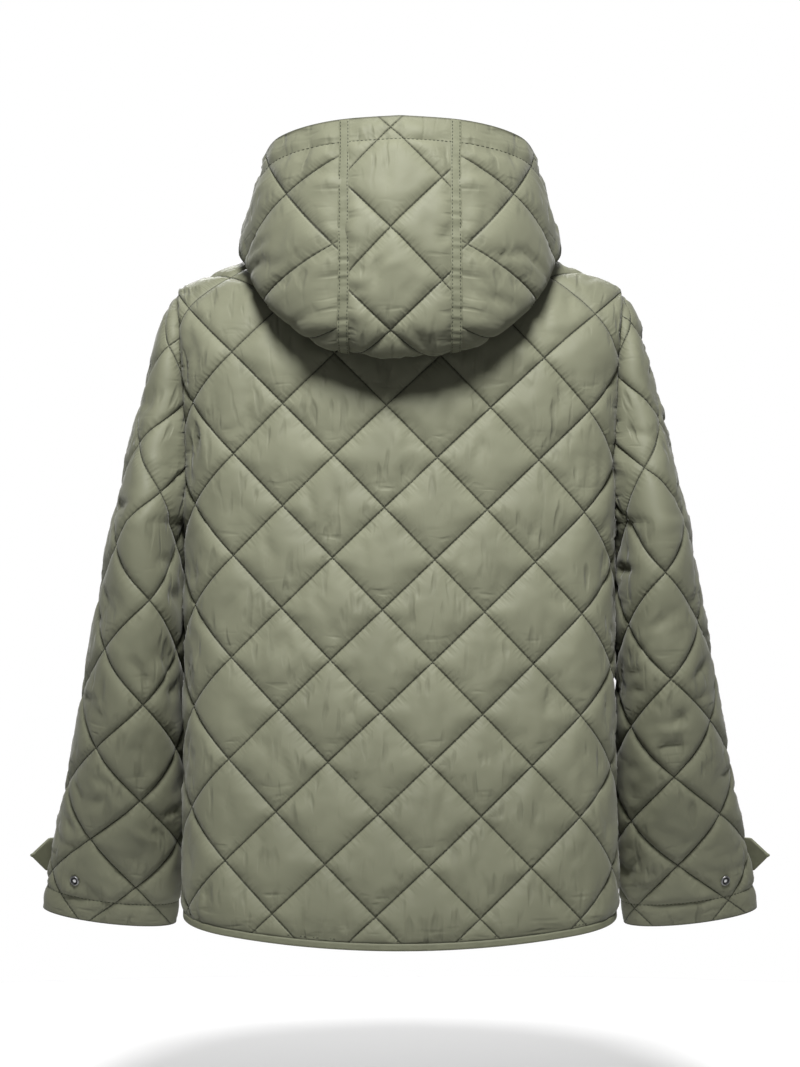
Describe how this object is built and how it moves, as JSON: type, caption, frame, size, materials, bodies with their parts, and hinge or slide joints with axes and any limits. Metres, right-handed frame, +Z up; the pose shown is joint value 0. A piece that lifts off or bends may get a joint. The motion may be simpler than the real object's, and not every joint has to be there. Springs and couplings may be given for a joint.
{
  "type": "quilted jacket",
  "caption": "Hooded jacket of diamond-quilted cloth with a press-stud front, pointed cuff tabs and a bound hem, held open as if worn.",
  "frame": {"origin": "middle of the neck opening, level with the nape, where the jacket is held", "axes": "+Z up through the neck opening, -Y the way the jacket faces, +X the wearer's left"},
  "size_m": [0.7548, 0.3533, 0.8075],
  "materials": {
    "shell_cloth": "satin",
    "trim_cloth": "satin",
    "stud_metal": "dark polished"
  },
  "bodies": {
    "root": {"back": "shell_cloth", "front_left": "shell_cloth", "front_right": "shell_cloth", "sleeve_left": "shell_cloth", "sleeve_right": "shell_cloth", "hood_centre": "shell_cloth", "hood_side_left": "shell_cloth", "hood_side_right": "shell_cloth", "placket": "trim_cloth", "hem_binding": "trim_cloth", "tab_left": "trim_cloth", "tab_right": "trim_cloth", "stud_front_1": "stud_metal", "stud_front_2": "stud_metal", "stud_front_3": "stud_metal", "stud_front_4": "stud_metal", "stud_front_5": "stud_metal", "stud_front_6": "stud_metal", "stud_cuff_left": "stud_metal", "stud_cuff_right": "stud_metal", "stud_tab_left": "stud_metal", "stud_tab_right": "stud_metal"}
  },
  "joints": []
}
